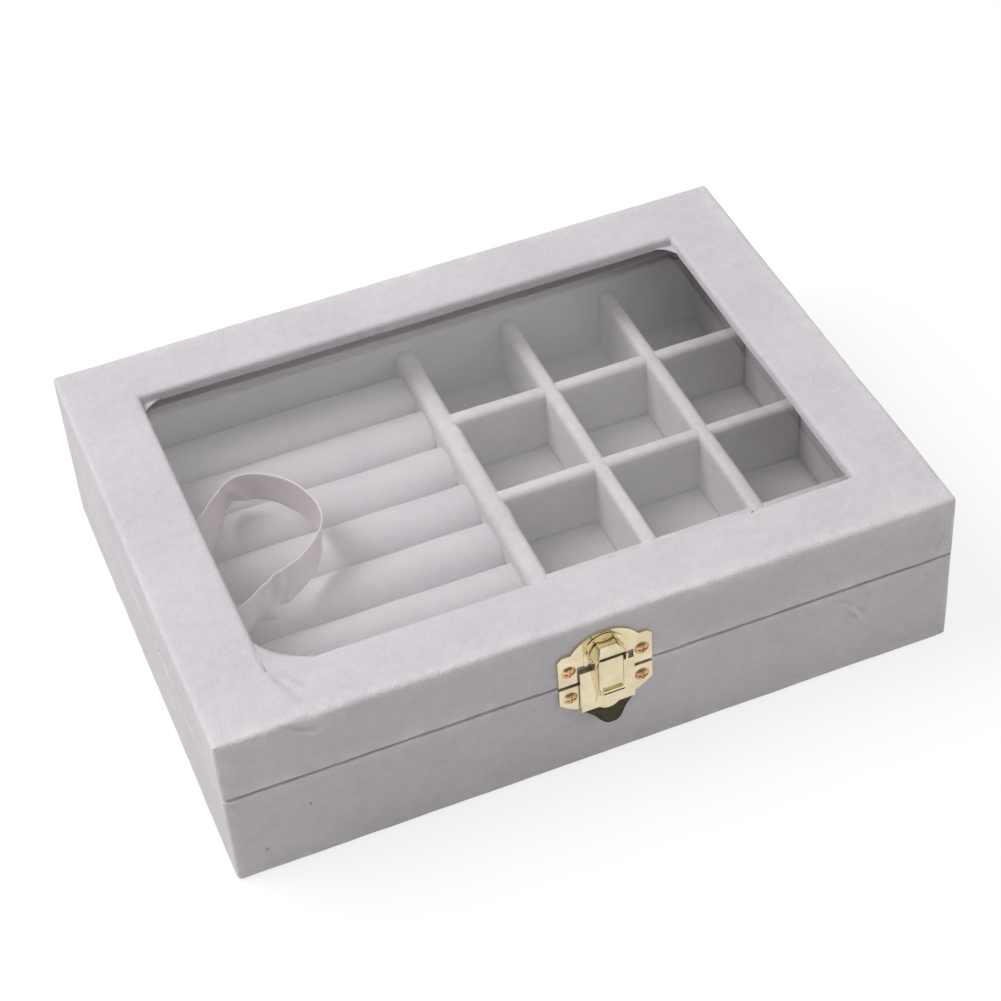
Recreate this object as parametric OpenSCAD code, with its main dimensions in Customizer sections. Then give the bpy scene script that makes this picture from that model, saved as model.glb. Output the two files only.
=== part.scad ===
// Ring display box: a velvet-covered board box with a window lid, eight ring rolls, a grid of
// twelve compartments, a ribbon stay and a brass snap latch.
// Millimetres. X runs along the front, Y to the back, Z up. The origin is the middle of the underside.

/* [Box] */
// Overall width, along the front
box_w = 200; // [165:1:260]
// Overall depth, front to back
box_d = 150; // [125:1:200]
// Height of the covered base
base_h = 30; // [25:0.5:45]
// Height of the covered lid
lid_h = 19.6; // [18:0.2:30]
// Gap between base and lid when the box is shut
seam = 0.4; // [0.3:0.1:1]

/* [Boards and coverings] */
// Thickness of the wall boards
board_t = 4; // [3:0.5:6]
// Thickness of the floor board
floor_t = 3; // [2:0.5:5]
// Thickness of the window frame board
frame_t = 2.4; // [2:0.2:4]
// Thickness of the velvet covering with its glue
skin = 0.8; // [0.4:0.1:1.2]
// Thickness of the velvet-wrapped lining card
liner_t = 2.2; // [1:0.1:3]
// Thickness of the sheet glued on the underside
sheet_t = 0.5; // [0.3:0.1:1]
// Width of the covering turned under the base
turn_under = 12; // [6:1:20]
// Radius of the covered upright corners
corner_r = 2; // [1:0.5:4]
// Radius of the covered edge round the top of the lid
edge_r = 1.4; // [1:0.1:2]
// Radius of the covered rims and of the bottom edge
rim_r = 0.7; // [0.4:0.1:0.8]

/* [Window] */
// Width of the frame left and right of the window
border_side = 20; // [16:0.5:30]
// Width of the frame in front of the window and behind it
border_front = 19; // [16:0.5:30]
// Thickness of the glass
glass_t = 2; // [1.5:0.5:3]
// Gap between the glass and the wall boards
glass_gap = 3; // [0.5:0.5:5]
// Thickness of the card frame that holds the glass up
retainer_t = 1.5; // [1:0.5:3]
// How far the retainer's opening stands back from the window
retainer_back = 3; // [1:0.5:4]

/* [Ring rolls] */
// Depth of the roll tops below the rim of the base
roll_drop = 7.7; // [6:0.1:9]
// Thickness of the bed that the rolls are glued to
bed_t = 3; // [1:0.5:5]
// Gap between neighbouring rolls
roll_gap = 0.3; // [0.2:0.1:1]
// Thickness of the partition between rolls and compartments
partition_t = 6; // [4:0.5:8]

/* [Compartments] */
// Thickness of the dividers
divider_t = 4.5; // [2:0.5:6]
// Depth of the divider tops below the rim of the base
divider_drop = 3.5; // [1:0.5:8]
// Thickness of the pad under the compartments
pad_t = 2; // [1:0.5:3]
// Depth of the housings in the partition that hold the cross dividers
housing = 1.2; // [0.5:0.1:2]

/* [Ribbon stay] */
// Width of the ribbon, which stands on edge
ribbon_w = 10; // [8:1:14]
// Thickness of the ribbon
ribbon_t = 0.4; // [0.3:0.1:0.8]
// Depth of the ribbon's lower edge below the rim of the base
ribbon_drop = 3.2; // [1:0.1:3.4]

/* [Back hinges] */
// Distance of each hinge from the middle
hinge_x = 60; // [30:1:70]
// Width of a hinge leaf, along the pin
leaf_w = 20; // [14:1:26]
// Height of a hinge leaf, from the pin
leaf_h = 10.5; // [9:0.5:14]
// Thickness of the leaf sheet
leaf_t = 0.8; // [0.6:0.1:1]
// Radius of the knuckles
knuckle_r = 1.6; // [1.4:0.1:2]
// Radius of the hinge pins
hinge_pin_r = 0.8; // [0.6:0.1:1]

/* [Latch] */
// Distance of the latch from the middle of the front
latch_x = 0.8; // [-5:0.1:5]
// Width of the latch plates
plate_w = 25.6; // [22:0.2:30]
// Thickness of the latch plates
plate_t = 0.8; // [0.6:0.1:1]
// Width of the flap
flap_w = 14.8; // [13:0.2:16]
// Thickness of the flap sheet
flap_t = 0.8; // [0.6:0.1:1]
// Radius of the latch pin
latch_pin_r = 0.6; // [0.5:0.1:0.8]

/* [Screws] */
// Radius of the screw heads
head_r = 2; // [1.6:0.1:2.2]
// Height of the screw heads
head_h = 0.9; // [0.6:0.1:1.2]
// Radius of the screw shanks
shank_r = 0.8; // [0.6:0.1:1]
// Board left behind the screw tips
screw_stop = 0.8; // [0.4:0.1:1.5]

/* [Fits] */
// Clearance round pins and screws
fit = 0.05; // [0.02:0.01:0.08]
// Clearance of slotted and glued soft pieces
soft_gap = 0.2; // [0.1:0.05:0.4]
// Clearance between moving sheet parts
run_gap = 0.3; // [0.25:0.05:0.5]

/* [Hidden] */
$fn = 48;
eps = 0.01;
cut = 1; // how far a cutting shape runs past what it cuts

roll_count = 8;
column_count = 3;
row_count = 4;

// Boards
shell_w = box_w - 2 * skin;
shell_d = box_d - 2 * skin;
well_w = shell_w - 2 * board_t;
well_d = shell_d - 2 * board_t;
room_w = well_w - 2 * liner_t;
room_d = well_d - 2 * liner_t;

// Levels of the base
board_z = sheet_t + skin;
floor_z = board_z + floor_t;
rim_z = base_h - skin;

// Levels of the lid
lid_z = base_h + seam;
box_h = lid_z + lid_h;
lid_board_z = lid_z + skin;
frame_top = box_h - skin;
frame_z = frame_top - frame_t;
window_w = box_w - 2 * border_side;
window_d = box_d - 2 * border_front;
glass_z = frame_z - glass_t;
retainer_z = glass_z - retainer_t;

// Rolls and compartments
bay_left = -room_w / 2;
partition_left = -partition_t / 2;
grid_left = partition_t / 2;
grid_right = room_w / 2;
bay_w = partition_left - bay_left;
roll_pitch = room_d / roll_count;
roll_r = (roll_pitch - roll_gap) / 2;
roll_top = base_h - roll_drop;
bed_top = floor_z + bed_t;
divider_top = base_h - divider_drop;
ribbon_z = base_h - ribbon_drop;
pad_z = floor_z + pad_t;
cell_w = (grid_right - grid_left - (column_count - 1) * divider_t) / column_count;
cell_d = (room_d - (row_count - 1) * divider_t) / row_count;
lap_z = (pad_z + divider_top) / 2;
function long_x(i) = grid_left + i * (cell_w + divider_t) - divider_t / 2;
function cross_y(j) = room_d / 2 - j * (cell_d + divider_t) + divider_t / 2;

// Hinges and screws
seam_z = base_h + seam / 2;
leaf_screw_x = leaf_w / 2 - 3.4;
leaf_screw_z = leaf_h - 3.6;
bite = skin + board_t - screw_stop; // how deep the screws go into the box

// Latch, in its own frame: X along the front, Y out of the box, Z up from the seam
ear_low = 0.8;
ear_high = 11.1;
ear_chamfer = 1.2;
arch_r = 10.9;
arch_z = 5.2;
cutout_high = 6.2;
flap_y = plate_t + run_gap;
pivot_y = 2.9;
pivot_z = 9.2;
hood_r = 3.9;
hood_half = 4.5;
hood_wall = 0.5;
hood_low = 7;
hood_lip = [5.6, 11.4];
boss_half = hood_half - hood_wall - run_gap - 0.2;
boss_wall = 0.6;
boss_face = 5.3;
boss_high = pivot_z - 1;
hollow_high = boss_high - 2.4;
barrel_r = 2.4;
barrel_half = 2.8;
crown_r = 2.4;
crown_high = 11.1;
crown_corner_r = 2;
lip = [5.5, -1.1];
lip_r = 0.9;
tab_tilt = 28; // how far the flap's finger tab is bent out
tab_half = 6.6; // half its width at the bend
tab_root = 0.42; // how far the tab runs up into the flap's sheet
flap_high = 4.6;
flap_low = -9.6;
ledge_z = -3.8;
keeper_high = -0.4;
ear_keeper_low = -5.8;
tongue_half = 2.1;
tongue_out = 3;
tongue_high = -1.5;
upper_screw = [plate_w / 2 - 2.8, 5.6];
lower_screw = [plate_w / 2 - 2.9, -4];

// Colours
velvet = [0.82, 0.80, 0.82];
lining = [0.74, 0.73, 0.74];
card = [0.55, 0.50, 0.44];
brass = [0.86, 0.78, 0.52];
copper = [0.80, 0.52, 0.34];

// ---- Shared shapes ----

module rounded_rect(w, d, r) {
    square([w - 2 * r, d], center = true);
    square([w, d - 2 * r], center = true);
    for (sx = [-1, 1], sy = [-1, 1])
        translate([sx * (w / 2 - r), sy * (d / 2 - r)]) circle(r);
}

// Upright section of a covered box half, with its bottom and top edges rounded
module edge_section(w, h, low_r, high_r) {
    translate([-w / 2, low_r]) square([w, h - low_r - high_r]);
    translate([-w / 2 + low_r, 0]) square([w - 2 * low_r, h / 2]);
    translate([-w / 2 + high_r, h / 2]) square([w - 2 * high_r, h / 2]);
    for (s = [-1, 1]) {
        translate([s * (w / 2 - low_r), low_r]) circle(low_r);
        translate([s * (w / 2 - high_r), h - high_r]) circle(high_r);
    }
}

// Block with rounded upright corners and rounded bottom and top edges
module soft_block(w, d, h, low_r, high_r) {
    intersection() {
        linear_extrude(h) rounded_rect(w, d, corner_r);
        rotate([90, 0, 0]) translate([0, 0, -d / 2])
            linear_extrude(d) edge_section(w, h, low_r, high_r);
        rotate([90, 0, 90]) translate([0, 0, -w / 2])
            linear_extrude(w) edge_section(d, h, low_r, high_r);
    }
}

// Upright block on the middle of the box
module block(w, d, z0, z1) {
    translate([-w / 2, -d / 2, z0]) cube([w, d, z1 - z0]);
}

// Front or back wall board, the full width of the shell; side is -1 for the front
module cross_board(side, z0, z1) {
    translate([-shell_w / 2, side * (shell_d - board_t) / 2 - board_t / 2, z0])
        cube([shell_w, board_t, z1 - z0]);
}

// Two side wall boards, butted between the front and back boards
module side_boards(z0, z1) {
    for (s = [-1, 1])
        translate([s * (shell_w - board_t) / 2 - board_t / 2, -well_d / 2, z0])
            cube([board_t, well_d, z1 - z0]);
}

// Four lining strips: the long ones run the full width, the short ones stand between them
module liner_strips(z0, z1) {
    for (s = [-1, 1]) {
        translate([-well_w / 2, s * (well_d - liner_t) / 2 - liner_t / 2, z0])
            cube([well_w, liner_t, z1 - z0]);
        translate([s * (well_w - liner_t) / 2 - liner_t / 2, -room_d / 2 + soft_gap, z0])
            cube([liner_t, room_d - 2 * soft_gap, z1 - z0]);
    }
}

// Points of a smooth curve through hand-placed points
function bend(a, b, c, d, t) = 0.5 * ((2 * b) + (c - a) * t + (2 * a - 5 * b + 4 * c - d) * t * t
    + (3 * b - a - 3 * c + d) * t * t * t);
function curve(p, steps) = let (n = len(p) - 1) concat(
    [for (i = [0:n - 1], k = [0:steps - 1])
        bend(p[max(i - 1, 0)], p[i], p[i + 1], p[min(i + 2, n)], k / steps)],
    [p[n]]);

// Places hardware on the front, on the latch's own frame
module on_front() {
    translate([latch_x, -box_d / 2, seam_z]) mirror([0, 1, 0]) children();
}

// Places hardware on the back, on each hinge's own frame: Y out of the box, Z up from the pin
module on_back() {
    for (s = [-1, 1]) translate([s * hinge_x, box_d / 2, seam_z]) children();
}

// Round-headed cross-slot screw on the face of a sheet at y = 0, with its head outwards
module screw(sheet) {
    shank_l = sheet + bite;
    dome_r = (head_r * head_r + head_h * head_h) / (2 * head_h);
    rotate([-90, 0, 0]) difference() {
        union() {
            intersection() {
                translate([0, 0, head_h - dome_r]) sphere(dome_r);
                cylinder(r = head_r, h = head_h + cut);
            }
            translate([0, 0, -shank_l]) cylinder(r = shank_r, h = shank_l + eps);
        }
        for (a = [0, 90]) rotate([0, 0, a])
            translate([-head_r * 0.65, -0.25, head_h * 0.35]) cube([head_r * 1.3, 0.5, head_h]);
    }
}

// Its hole, from outside the sheet to just past the tip
module screw_hole(sheet) {
    rotate([90, 0, 0]) translate([0, 0, -cut])
        cylinder(r = shank_r + fit, h = sheet + bite + fit + cut);
}

// The screws' places on each piece of hardware
module at_latch_screws(place) {
    for (s = [-1, 1]) on_front() translate([s * place[0], plate_t, place[1]]) children();
}

module at_hinge_screws(side) {
    for (s = [-1, 1]) on_back()
        translate([s * leaf_screw_x, leaf_t, side * leaf_screw_z]) children();
}

// ---- Base ----

module base_front_board() {
    color(card) difference() {
        cross_board(-1, board_z, rim_z);
        at_latch_screws(lower_screw) screw_hole(plate_t);
    }
}

module base_back_board() {
    color(card) difference() {
        cross_board(1, board_z, rim_z);
        at_hinge_screws(-1) screw_hole(leaf_t);
    }
}

module base_side_boards() {
    color(card) side_boards(board_z, rim_z);
}

module base_floor_board() {
    color(card) block(well_w, well_d, board_z, floor_z);
}

// Velvet wrapped round the walls, over the rim and under the bottom
module base_cover() {
    color(velvet) difference() {
        translate([0, 0, sheet_t]) soft_block(box_w, box_d, base_h - sheet_t, rim_r, rim_r);
        block(shell_w, shell_d, board_z, rim_z);
        block(well_w, well_d, board_z, base_h + cut);
        block(box_w - 2 * turn_under, box_d - 2 * turn_under, 0, board_z + cut);
        at_latch_screws(lower_screw) screw_hole(plate_t);
        at_hinge_screws(-1) screw_hole(leaf_t);
    }
}

module underside_sheet() {
    color(card) linear_extrude(sheet_t) rounded_rect(box_w - 4, box_d - 4, corner_r);
}

module base_liner() {
    color(lining) liner_strips(floor_z, base_h - soft_gap);
}

module ring_bed() {
    color(card) translate([bay_left + soft_gap, -room_d / 2 + soft_gap, floor_z])
        cube([bay_w - 2 * soft_gap, room_d - 2 * soft_gap, bed_t]);
}

// Foam roll wrapped in velvet: a flat-bottomed bar with a round top, counted from the back
module ring_roll(i) {
    roll_y = room_d / 2 - (i - 0.5) * roll_pitch;
    color(lining) translate([bay_left + soft_gap, roll_y, 0]) rotate([90, 0, 90])
        linear_extrude(bay_w - 2 * soft_gap) {
            intersection() {
                translate([0, roll_top - roll_r]) circle(roll_r);
                translate([-roll_r, bed_top]) square([2 * roll_r, roll_top - bed_top]);
            }
            translate([-roll_r, bed_top]) square([2 * roll_r, roll_top - roll_r - bed_top]);
        }
}

// Partition between rolls and compartments, with a housing for each cross divider
module centre_partition() {
    color(lining) difference() {
        translate([partition_left, -room_d / 2 + soft_gap, floor_z])
            cube([partition_t, room_d - 2 * soft_gap, divider_top - floor_z]);
        for (j = [1:row_count - 1])
            translate([grid_left - housing, cross_y(j) - divider_t / 2 - soft_gap, pad_z - soft_gap])
                cube([housing + cut, divider_t + 2 * soft_gap, divider_top]);
    }
}

module compartment_pad() {
    color(lining) translate([grid_left + soft_gap, -room_d / 2 + soft_gap, floor_z])
        cube([grid_right - grid_left - 2 * soft_gap, room_d - 2 * soft_gap, pad_t]);
}

// Front-to-back divider: slots in its lower half drop over the cross dividers
module long_divider(i) {
    color(lining) difference() {
        translate([long_x(i) - divider_t / 2, -room_d / 2 + soft_gap, pad_z])
            cube([divider_t, room_d - 2 * soft_gap, divider_top - pad_z]);
        for (j = [1:row_count - 1])
            translate([long_x(i) - divider_t, cross_y(j) - divider_t / 2 - soft_gap, pad_z - cut])
                cube([2 * divider_t, divider_t + 2 * soft_gap, lap_z - pad_z + cut]);
    }
}

// Side-to-side divider: slots in its upper half take the long dividers
module cross_divider(j) {
    cross_left = grid_left - housing + soft_gap;
    color(lining) difference() {
        translate([cross_left, cross_y(j) - divider_t / 2, pad_z])
            cube([grid_right - soft_gap - cross_left, divider_t, divider_top - pad_z]);
        for (i = [1:column_count - 1])
            translate([long_x(i) - divider_t / 2 - soft_gap, cross_y(j) - divider_t, lap_z - soft_gap])
                cube([divider_t + 2 * soft_gap, 2 * divider_t, divider_top]);
    }
}

// Ribbon between the left walls of base and lid, slack in a loop while the box is shut.
// Its points are distances in from the left lining, and places along Y.
ribbon_route = [
    [0.3, -28], [8, -25], [16.5, -20], [25, -17], [32, -13.5], [38.5, -8], [43.5, -2],
    [46, 4], [45.5, 12], [42, 20], [35.5, 26], [28, 28.5], [21, 26.5], [15.5, 20],
    [10.5, 13.5], [5.5, 9.5], [0.3, 8]
];

module ribbon_stay() {
    mid = curve(ribbon_route, 3);
    n = len(mid) - 1;
    side = [for (i = [0:n]) let (
        run = mid[min(i + 1, n)] - mid[max(i - 1, 0)],
        out = [-run[1], run[0]] * (ribbon_t / 2) / norm(run)) out];
    color([0.80, 0.72, 0.73]) translate([bay_left, 0, ribbon_z]) linear_extrude(ribbon_w)
        polygon(concat([for (i = [0:n]) mid[i] + side[i]], [for (i = [n:-1:0]) mid[i] - side[i]]));
}

// ---- Back hinges ----

// Leaf with its knuckles, seen from the pin; up is 1 for the lid's leaf and -1 for the base's.
// The outer knuckles belong to the base and the middle one to the lid.
module leaf(up) {
    third = leaf_w / 3;
    starts = up > 0 ? [-third / 2] : [-leaf_w / 2, third / 2];
    clear_z = knuckle_r + run_gap;
    color(brass) difference() {
        mirror([0, 0, up > 0 ? 0 : 1]) {
            translate([-leaf_w / 2, 0, clear_z]) cube([leaf_w, leaf_t, leaf_h - clear_z]);
            for (start = starts) translate([start + run_gap / 2, 0, 0]) {
                cube([third - run_gap, leaf_t, clear_z + eps]);
                translate([0, knuckle_r, 0]) rotate([0, 90, 0])
                    cylinder(r = knuckle_r, h = third - run_gap);
            }
        }
        translate([-leaf_w / 2 - cut, knuckle_r, 0]) rotate([0, 90, 0])
            cylinder(r = hinge_pin_r + fit, h = leaf_w + 2 * cut);
        for (s = [-1, 1]) translate([s * leaf_screw_x, leaf_t, up * leaf_screw_z]) screw_hole(leaf_t);
    }
}

module hinge_base_leaves() { on_back() leaf(-1); }
module hinge_lid_leaves() { on_back() leaf(1); }

module hinge_pins() {
    pin_l = leaf_w + 0.8;
    color(brass) on_back() translate([-pin_l / 2, knuckle_r, 0]) rotate([0, 90, 0])
        cylinder(r = hinge_pin_r, h = pin_l);
}

module hinge_base_screws() { color(brass) at_hinge_screws(-1) screw(leaf_t); }
module hinge_lid_screws() { color(brass) at_hinge_screws(1) screw(leaf_t); }

// ---- Lid ----

module lid_front_board() {
    color(card) difference() {
        cross_board(-1, lid_board_z, frame_z);
        at_latch_screws(upper_screw) screw_hole(plate_t);
    }
}

module lid_back_board() {
    color(card) difference() {
        cross_board(1, lid_board_z, frame_z);
        at_hinge_screws(1) screw_hole(leaf_t);
    }
}

module lid_side_boards() {
    color(card) side_boards(lid_board_z, frame_z);
}

module lid_window_frame() {
    color(card) difference() {
        block(shell_w, shell_d, frame_z, frame_top);
        block(window_w + 2 * skin, window_d + 2 * skin, frame_z - cut, frame_top + cut);
    }
}

// Velvet wrapped over the top and walls, round the rim and down the window's edge
module lid_cover() {
    color(velvet) difference() {
        translate([0, 0, lid_z]) soft_block(box_w, box_d, lid_h, rim_r, edge_r);
        difference() {
            block(shell_w, shell_d, lid_board_z, frame_top);
            block(window_w + 2 * skin, window_d + 2 * skin, frame_z, frame_top + cut);
        }
        block(well_w, well_d, lid_z - cut, lid_board_z + eps);
        block(window_w, window_d, lid_z, box_h + cut);
        at_latch_screws(upper_screw) screw_hole(plate_t);
        at_hinge_screws(1) screw_hole(leaf_t);
    }
}

module lid_liner() {
    color(lining) liner_strips(lid_z + soft_gap, retainer_z);
}

module glass_pane() {
    color([0.8, 0.85, 0.84, 0.35])
        block(well_w - 2 * glass_gap, well_d - 2 * glass_gap, glass_z, frame_z);
}

module glass_retainer() {
    color(lining) difference() {
        block(well_w - 2 * soft_gap, well_d - 2 * soft_gap, retainer_z, glass_z);
        block(window_w + 2 * retainer_back, window_d + 2 * retainer_back,
            retainer_z - cut, glass_z + cut);
    }
}

// ---- Latch ----

// Side view of a sheet part: Y out, Z up, made along X
module along_x(half) {
    translate([-half, 0, 0]) rotate([90, 0, 90]) linear_extrude(2 * half) children();
}

// Front view of a sheet part: X across, Z up, from y0 out to y1
module front_plate(y0, y1) {
    translate([0, y1, 0]) rotate([90, 0, 0]) linear_extrude(y1 - y0) children();
}

// Arched outline of the hood, seen from the front
module arched(half, low) {
    intersection() {
        translate([0, pivot_z]) circle(half);
        translate([-half, pivot_z]) square([2 * half, half]);
    }
    translate([-half, low]) square([2 * half, pivot_z - low + eps]);
}

module hood_form(inset) {
    intersection() {
        along_x(hood_half - inset) {
            translate([pivot_y, pivot_z]) circle(hood_r - inset);
            translate([0, hood_low - cut]) square([pivot_y, pivot_z + hood_r - inset - hood_low + cut]);
        }
        front_plate(0, pivot_y + hood_r) arched(hood_half - inset, hood_low - cut);
    }
}

// Pressed hood over the flap's pivot, open below and in front
module hood() {
    front_low = 4.4;
    difference() {
        hood_form(0);
        translate([0, 0, -eps]) hood_form(hood_wall);
        translate([-plate_w / 2, -cut, 0]) cube([plate_w, pivot_y + hood_r + 2 * cut, hood_low]);
        along_x(plate_w / 2) polygon([[front_low, 0], [front_low, hood_low], hood_lip,
            [2 * hood_r + pivot_y, hood_lip[1]], [2 * hood_r + pivot_y, 0]]);
    }
}

module latch_plate() {
    rim_in = hood_half + 0.4;
    rim_out = hood_half + 1.3;
    color(brass) on_front() difference() {
        union() {
            front_plate(0, plate_t) difference() {
                union() {
                    polygon([[-plate_w / 2, ear_low], [plate_w / 2, ear_low],
                        [plate_w / 2, ear_high - ear_chamfer], [plate_w / 2 - ear_chamfer, ear_high],
                        [-plate_w / 2 + ear_chamfer, ear_high], [-plate_w / 2, ear_high - ear_chamfer]]);
                    intersection() {
                        translate([0, arch_z]) circle(arch_r);
                        translate([-arch_r, arch_z]) square([2 * arch_r, arch_r]);
                    }
                }
                translate([-flap_w / 2 - run_gap, ear_low - cut])
                    square([flap_w + 2 * run_gap, cutout_high - ear_low + cut]);
                translate([0, -eps]) arched(hood_half - hood_wall, cutout_high);
            }
            hood();
            // rim pressed up round the hood
            front_plate(plate_t - eps, plate_t + 0.4) difference() {
                arched(rim_out, cutout_high);
                arched(rim_in, cutout_high - cut);
            }
        }
        translate([-hood_half - cut, pivot_y, pivot_z]) rotate([0, 90, 0])
            cylinder(r = latch_pin_r + fit, h = 2 * (hood_half + cut));
        for (s = [-1, 1]) translate([s * upper_screw[0], plate_t, upper_screw[1]]) screw_hole(plate_t);
    }
}

module latch_plate_screws() { color(copper) at_latch_screws(upper_screw) screw(plate_t); }

module latch_pin() {
    pin_l = 2 * hood_half + 0.6;
    color(brass) on_front() translate([-pin_l / 2, pivot_y, pivot_z]) rotate([0, 90, 0])
        cylinder(r = latch_pin_r, h = pin_l);
}

// Section of the boss below the pivot, from the flap's sheet out to the face
module boss_section() {
    polygon([[flap_y, ledge_z - boss_wall], [flap_y + flap_t, ledge_z - boss_wall],
        [lip[0] - 0.2, lip[1] - 0.7], [lip[0] - 0.4, lip[1] + 1.5],
        [boss_face, lip[1] + 2.1], [boss_face, boss_high], [flap_y, boss_high]]);
}

// Plan of the boss: its sides draw in towards a face with round edges
module boss_plan() {
    round_r = 1.2;
    draw_in = 0.3;
    edge_x = boss_half - draw_in - round_r;
    polygon([[-boss_half, 0], [boss_half, 0], [boss_half - draw_in, boss_face - round_r],
        [-boss_half + draw_in, boss_face - round_r]]);
    translate([-edge_x, 0]) square([2 * edge_x, boss_face]);
    for (s = [-1, 1]) translate([s * edge_x, boss_face - round_r]) circle(round_r);
}

// Head of the boss: its face carried up beside the pin, with round top corners, to the hood's lip
module boss_head() {
    intersection() {
        along_x(boss_half + cut) intersection() {
            translate([pivot_y, pivot_z]) circle(crown_r);
            translate([pivot_y, pivot_z - crown_r]) square(2 * crown_r);
        }
        front_plate(0, pivot_y + hood_r) {
            translate([-boss_half, boss_high - cut])
                square([2 * boss_half, crown_high - crown_corner_r - boss_high + cut]);
            translate([-boss_half + crown_corner_r, boss_high - cut])
                square([2 * (boss_half - crown_corner_r), crown_high - boss_high + cut]);
            for (s = [-1, 1]) translate([s * (boss_half - crown_corner_r), crown_high - crown_corner_r])
                circle(crown_corner_r);
        }
        translate([0, 0, boss_high - cut]) linear_extrude(crown_high - boss_high + 2 * cut) boss_plan();
    }
}

// Finger tab at the flap's foot, on the flap's own front edge: X across, its length down
module finger_tab() {
    foot = curve([[tab_half, 0], [5.6, -0.8], [4.5, -1.7], [3.4, -3], [2.3, -4.2], [1.2, -4.8],
        [0, -4.9]], 3);
    front_plate(-flap_t - eps, -eps) polygon(concat([[tab_half, tab_root]], foot,
        [for (i = [len(foot) - 2:-1:0]) [-foot[i][0], foot[i][1]]], [[-tab_half, tab_root]]));
}

// Flap: a flat hasp with a boss, hung on the pin and lifted by the tab at its foot
module latch_flap() {
    bulge_r = 3.4;
    bulge_t = 0.5;
    color(brass) on_front() difference() {
        union() {
            front_plate(flap_y, flap_y + flap_t)
                translate([-flap_w / 2, flap_low]) square([flap_w, flap_high - flap_low]);
            front_plate(flap_y + flap_t - eps, flap_y + flap_t + bulge_t)
                translate([0, flap_low + bulge_r - 0.6]) circle(bulge_r);
            translate([0, flap_y + flap_t, flap_low]) rotate([tab_tilt, 0, 0]) finger_tab();
            intersection() {
                along_x(boss_half) boss_section();
                translate([0, 0, flap_low]) linear_extrude(boss_high - flap_low + cut) boss_plan();
            }
            along_x(boss_half - 0.7) translate(lip) circle(lip_r);
            // barrel round the pin, low enough to turn clear of the lid
            along_x(barrel_half) translate([pivot_y, pivot_z]) circle(barrel_r);
            boss_head();
        }
        // hollow of the boss, open at the back for the keeper's tongue
        along_x(tongue_half + run_gap)
            polygon([[0, ledge_z], [flap_y + flap_t, ledge_z], [lip[0] - 1, lip[1] - 0.2],
                [lip[0] - 1, lip[1] + 1.6], [boss_face - boss_wall, lip[1] + 2.2],
                [boss_face - boss_wall, hollow_high], [0, hollow_high]]);
        translate([-hood_half, pivot_y, pivot_z]) rotate([0, 90, 0])
            cylinder(r = latch_pin_r + fit, h = 2 * hood_half);
    }
}

// Keeper on the base: a plate whose foot draws in behind the flap, with a tongue bent out under the boss
module latch_keeper() {
    half_w = plate_w / 2;
    foot = curve([[half_w, ear_keeper_low], [10.4, -7.8], [8, -9], [4, -9.3], [0, -9.3]], 4);
    color(brass) on_front() difference() {
        union() {
            front_plate(0, plate_t) polygon(concat([[-half_w, keeper_high], [half_w, keeper_high]],
                foot, [for (i = [len(foot) - 2:-1:0]) [-foot[i][0], foot[i][1]]]));
            along_x(tongue_half) {
                translate([0, tongue_high - plate_t]) square([tongue_out - plate_t / 2, plate_t]);
                translate([tongue_out - plate_t / 2, tongue_high - plate_t / 2]) circle(plate_t / 2);
            }
        }
        translate([-tongue_half - run_gap, -cut, tongue_high])
            cube([2 * (tongue_half + run_gap), plate_t + 2 * cut, keeper_high - tongue_high + cut]);
        for (s = [-1, 1]) translate([s * lower_screw[0], plate_t, lower_screw[1]]) screw_hole(plate_t);
    }
}

module latch_keeper_screws() { color(copper) at_latch_screws(lower_screw) screw(plate_t); }

base_front_board();
base_back_board();
base_side_boards();
base_floor_board();
base_cover();
underside_sheet();
base_liner();
ring_bed();
ring_roll(1);  // ring_roll_1
ring_roll(2);  // ring_roll_2
ring_roll(3);  // ring_roll_3
ring_roll(4);  // ring_roll_4
ring_roll(5);  // ring_roll_5
ring_roll(6);  // ring_roll_6
ring_roll(7);  // ring_roll_7
ring_roll(8);  // ring_roll_8
centre_partition();
compartment_pad();
long_divider(1);  // long_divider_1
long_divider(2);  // long_divider_2
cross_divider(1);  // cross_divider_1
cross_divider(2);  // cross_divider_2
cross_divider(3);  // cross_divider_3
ribbon_stay();
hinge_base_leaves();
hinge_pins();
hinge_base_screws();
latch_keeper();
latch_keeper_screws();
lid_front_board();
lid_back_board();
lid_side_boards();
lid_window_frame();
lid_cover();
lid_liner();
glass_pane();
glass_retainer();
hinge_lid_leaves();
hinge_lid_screws();
latch_plate();
latch_plate_screws();
latch_pin();
latch_flap();
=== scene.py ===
import math

import bmesh
import bpy
from mathutils import Matrix, Vector, noise


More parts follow.
